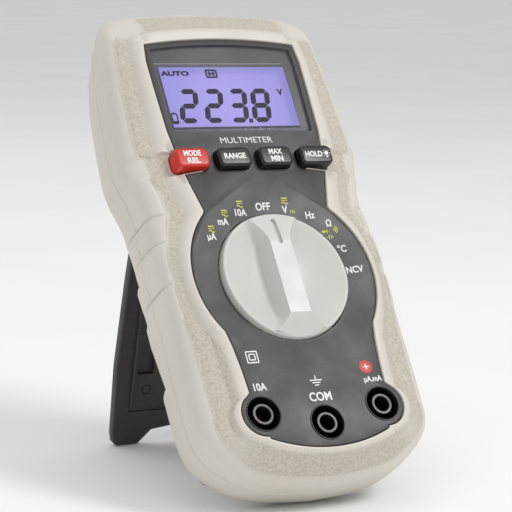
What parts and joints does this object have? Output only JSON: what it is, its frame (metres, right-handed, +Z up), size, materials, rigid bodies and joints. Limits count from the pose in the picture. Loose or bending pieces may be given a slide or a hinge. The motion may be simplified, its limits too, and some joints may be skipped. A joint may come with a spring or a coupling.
{
  "type": "handheld multimeter",
  "caption": "Handheld digital multimeter leaning on its fold-out stand, with rotary selector, push buttons, lit display and shrouded input sockets.",
  "frame": {"origin": "centre of the footprint box on the surface that the case's lower edge and the stand's feet rest on", "axes": "+X to the right seen from the front, -Y towards the reader, +Z up; the face leans back 36 degrees from upright"},
  "size_m": [0.077, 0.099, 0.1318],
  "materials": {
    "case_plastic": "light warm grey moulded ABS, fine spark texture on the grip bands",
    "panel_plastic": "dark grey moulded inlay with a fine matt grain",
    "black_plastic": "black moulded plastic",
    "red_plastic": "red moulded button cap, satin",
    "button_black": "black moulded button cap, satin",
    "knob_plastic": "light grey moulded ABS, satin",
    "window_glass": "clear moulded window",
    "display_glass": "lit display cell, violet",
    "diffuser": "milky light guide",
    "rubber": "foam and rubber strips",
    "stand_plastic": "charcoal moulded plastic, fine grain",
    "white_plastic": "natural acetal",
    "board": "green solder resist over glass laminate",
    "brass": "turned brass",
    "steel": "bright zinc-plated steel",
    "copper": "bare resistance wire",
    "ceramic": "fuse body, glazed ceramic",
    "component": "moulded component bodies",
    "silicone": "grey silicone keypad",
    "cell_jacket": "printed jacket of the dry cells"
  },
  "bodies": {
    "meter": {"front_case": "case_plastic", "rear_case": "case_plastic", "front_panel": "panel_plastic", "display_lens": "window_glass", "lens_seal": "rubber", "lcd_glass": "display_glass", "lcd_frame": "black_plastic", "backlight": "diffuser", "zebra_strips": "rubber", "detent_ring": "white_plastic", "button_mat": "silicone", "main_pcb": "board", "pcb_screws": "steel", "socket_10a": "black_plastic", "socket_com": "black_plastic", "socket_ma": "black_plastic", "contact_10a": "brass", "contact_com": "brass", "contact_ma": "brass", "current_shunt": "copper", "fuse_10a": "ceramic", "fuse_ma": "ceramic", "fuse_clips": "steel", "meter_chip": "component", "input_parts": "component", "buzzer": "component", "voltage_sensor": "copper", "battery_cells": "cell_jacket", "battery_plates": "steel", "battery_springs": "steel", "battery_door": "case_plastic", "door_screw": "steel", "case_screws": "steel"},
    "selector": {"knob": "knob_plastic", "switch_rotor": "white_plastic", "wiper_contacts": "brass", "detent_balls": "steel", "detent_springs": "steel"},
    "mode_key": {"button_mode": "red_plastic"},
    "range_key": {"button_range": "button_black"},
    "max_min_key": {"button_max_min": "button_black"},
    "hold_key": {"button_hold": "button_black"},
    "stand": {"tilt_stand": "stand_plastic"}
  },
  "joints": [
    {"name": "selector_turn", "type": "hinge", "parent": "meter", "child": "selector", "pos_m": [0, -0.01699, 0.06162], "axis": [0, -0.809, 0.5878], "range_deg": [-90, 54]},
    {"name": "stand_fold", "type": "hinge", "parent": "meter", "child": "stand", "pos_m": [0, 0.03074, 0.08257], "axis": [-1, 0, 0], "range_deg": [0, 47.74]},
    {"name": "mode_press", "type": "slide", "parent": "meter", "child": "mode_key", "axis": [0, 0.809, -0.5878], "range_m": [0, 0.001], "stiffness_N_per_m": 900},
    {"name": "range_press", "type": "slide", "parent": "meter", "child": "range_key", "axis": [0, 0.809, -0.5878], "range_m": [0, 0.001], "stiffness_N_per_m": 900},
    {"name": "max_min_press", "type": "slide", "parent": "meter", "child": "max_min_key", "axis": [0, 0.809, -0.5878], "range_m": [0, 0.001], "stiffness_N_per_m": 900},
    {"name": "hold_press", "type": "slide", "parent": "meter", "child": "hold_key", "axis": [0, 0.809, -0.5878], "range_m": [0, 0.001], "stiffness_N_per_m": 900}
  ]
}
